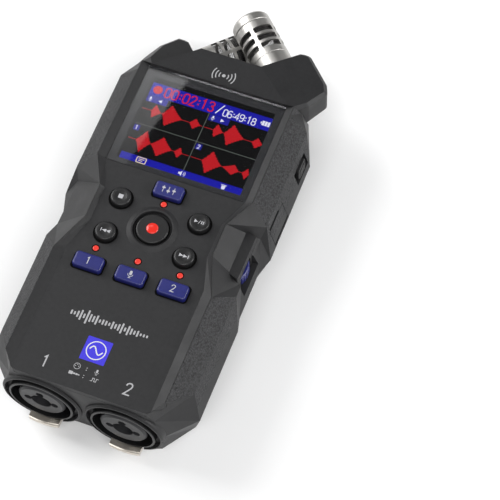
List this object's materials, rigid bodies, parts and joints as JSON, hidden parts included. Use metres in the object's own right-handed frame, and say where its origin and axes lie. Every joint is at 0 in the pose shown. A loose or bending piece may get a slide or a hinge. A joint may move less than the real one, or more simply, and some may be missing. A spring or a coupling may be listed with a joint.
{
  "type": "portable field recorder",
  "caption": "Handheld audio recorder with crossed microphones, a colour screen, keys, side controls and combination input jacks.",
  "frame": {"origin": "centre of the base of the recorder's box as it lies on its back", "axes": "+Z out of the control panel, +Y towards the microphones, +X to the recorder's right"},
  "size_m": [0.0684, 0.1504, 0.0333],
  "materials": {
    "casing": "moulded charcoal plastic, smooth and leather-grained areas",
    "panel": "fine satin charcoal plastic",
    "grey_keys": "satin dark grey keys with printed symbols",
    "blue_keys": "satin navy blue keys",
    "red_lens": "small glossy red lamps",
    "black_trim": "plain black plastic",
    "glass": "clear protective window with a dark border",
    "display": "colour liquid crystal display",
    "rubber": "dark silicone rubber",
    "steel": "plain sheet steel",
    "board": "green circuit board",
    "mic_metal": "satin silver finish",
    "mic_mesh": "fine woven wire",
    "jack_body": "black jack housing with a ground rim",
    "jack_insert": "dark grey insert",
    "nickel": "satin nickel release tabs",
    "brass": "plated contacts",
    "battery": "plain printed sleeve"
  },
  "bodies": {
    "recorder": {"front_shell": "casing", "rear_shell": "casing", "front_panel": "panel", "record_ring": "black_trim", "lamp_lenses": "red_lens", "keypad_membrane": "rubber", "display_window": "glass", "lcd_panel": "display", "lcd_frame": "steel", "main_board": "board", "jack_board": "board", "dial_encoder": "steel", "volume_pot": "steel", "power_switch": "steel", "card_socket": "steel", "headphone_socket": "black_trim", "line_out_socket": "black_trim", "usb_port": "steel", "battery_cradle": "black_trim", "battery_left": "battery", "battery_right": "battery", "battery_contacts": "steel", "speaker": "black_trim", "tripod_nut": "brass", "case_screws": "steel", "mic_collar_front": "mic_metal", "mic_shell_front": "mic_metal", "mic_cap_front": "mic_metal", "mic_mesh_front": "mic_mesh", "mic_element_front": "black_trim", "mic_collar_rear": "mic_metal", "mic_shell_rear": "mic_metal", "mic_cap_rear": "mic_metal", "mic_mesh_rear": "mic_mesh", "mic_element_rear": "black_trim", "jack_housing_1": "jack_body", "jack_insert_1": "jack_insert", "jack_contacts_1": "brass", "jack_housing_2": "jack_body", "jack_insert_2": "jack_insert", "jack_contacts_2": "brass"},
    "stop_button": {"stop_button": "grey_keys"},
    "rewind_button": {"rewind_button": "grey_keys"},
    "play_button": {"play_button": "grey_keys"},
    "forward_button": {"forward_button": "grey_keys"},
    "mixer_button": {"mixer_button": "blue_keys"},
    "track_1_button": {"track_1_button": "blue_keys"},
    "mic_button": {"mic_button": "blue_keys"},
    "track_2_button": {"track_2_button": "blue_keys"},
    "record_button": {"record_button": "grey_keys"},
    "selection_dial": {"selection_dial": "blue_keys"},
    "volume_wheel": {"volume_wheel": "black_trim"},
    "power_slider": {"power_slider": "grey_keys"},
    "card_door": {"card_door": "casing"},
    "battery_door": {"battery_door": "casing"},
    "release_tab_1": {"release_tab_1": "nickel"},
    "release_tab_2": {"release_tab_2": "nickel"}
  },
  "joints": [
    {"name": "stop_press", "type": "slide", "parent": "recorder", "child": "stop_button", "axis": [0, 0, -1], "range_m": [0, 0.0006], "stiffness_N_per_m": 200},
    {"name": "rewind_press", "type": "slide", "parent": "recorder", "child": "rewind_button", "axis": [0, 0, -1], "range_m": [0, 0.0006], "stiffness_N_per_m": 200},
    {"name": "play_press", "type": "slide", "parent": "recorder", "child": "play_button", "axis": [0, 0, -1], "range_m": [0, 0.0006], "stiffness_N_per_m": 200},
    {"name": "forward_press", "type": "slide", "parent": "recorder", "child": "forward_button", "axis": [0, 0, -1], "range_m": [0, 0.0006], "stiffness_N_per_m": 200},
    {"name": "mixer_press", "type": "slide", "parent": "recorder", "child": "mixer_button", "axis": [0, 0, -1], "range_m": [0, 0.0006], "stiffness_N_per_m": 200},
    {"name": "track_1_press", "type": "slide", "parent": "recorder", "child": "track_1_button", "axis": [0, 0, -1], "range_m": [0, 0.0006], "stiffness_N_per_m": 200},
    {"name": "mic_press", "type": "slide", "parent": "recorder", "child": "mic_button", "axis": [0, 0, -1], "range_m": [0, 0.0006], "stiffness_N_per_m": 200},
    {"name": "track_2_press", "type": "slide", "parent": "recorder", "child": "track_2_button", "axis": [0, 0, -1], "range_m": [0, 0.0006], "stiffness_N_per_m": 200},
    {"name": "record_press", "type": "slide", "parent": "recorder", "child": "record_button", "axis": [0, 0, -1], "range_m": [0, 0.0006], "stiffness_N_per_m": 200},
    {"name": "selection_turn", "type": "hinge", "parent": "recorder", "child": "selection_dial", "pos_m": [0.0235, -0.01411, 0.02165], "axis": [0, 0, 1], "continuous": true},
    {"name": "volume_turn", "type": "hinge", "parent": "recorder", "child": "volume_wheel", "pos_m": [-0.025, -0.01291, 0.0129], "axis": [0, 0, 1], "range_deg": [-150, 150]},
    {"name": "power_slide", "type": "slide", "parent": "recorder", "child": "power_slider", "axis": [0, 1, 0], "range_m": [-0.0015, 0.0015], "stiffness_N_per_m": 150},
    {"name": "card_door_turn", "type": "hinge", "parent": "recorder", "child": "card_door", "pos_m": [0.03322, 0.00559, 0.01785], "axis": [0, 1, 0], "range_deg": [0, 95]},
    {"name": "battery_door_slide", "type": "slide", "parent": "recorder", "child": "battery_door", "axis": [0, -1, 0], "range_m": [0, 0.004]},
    {"name": "release_1_press", "type": "slide", "parent": "recorder", "child": "release_tab_1", "axis": [0, 1, 0], "range_m": [0, 0.0012], "stiffness_N_per_m": 250},
    {"name": "release_2_press", "type": "slide", "parent": "recorder", "child": "release_tab_2", "axis": [0, 1, 0], "range_m": [0, 0.0012], "stiffness_N_per_m": 250}
  ]
}
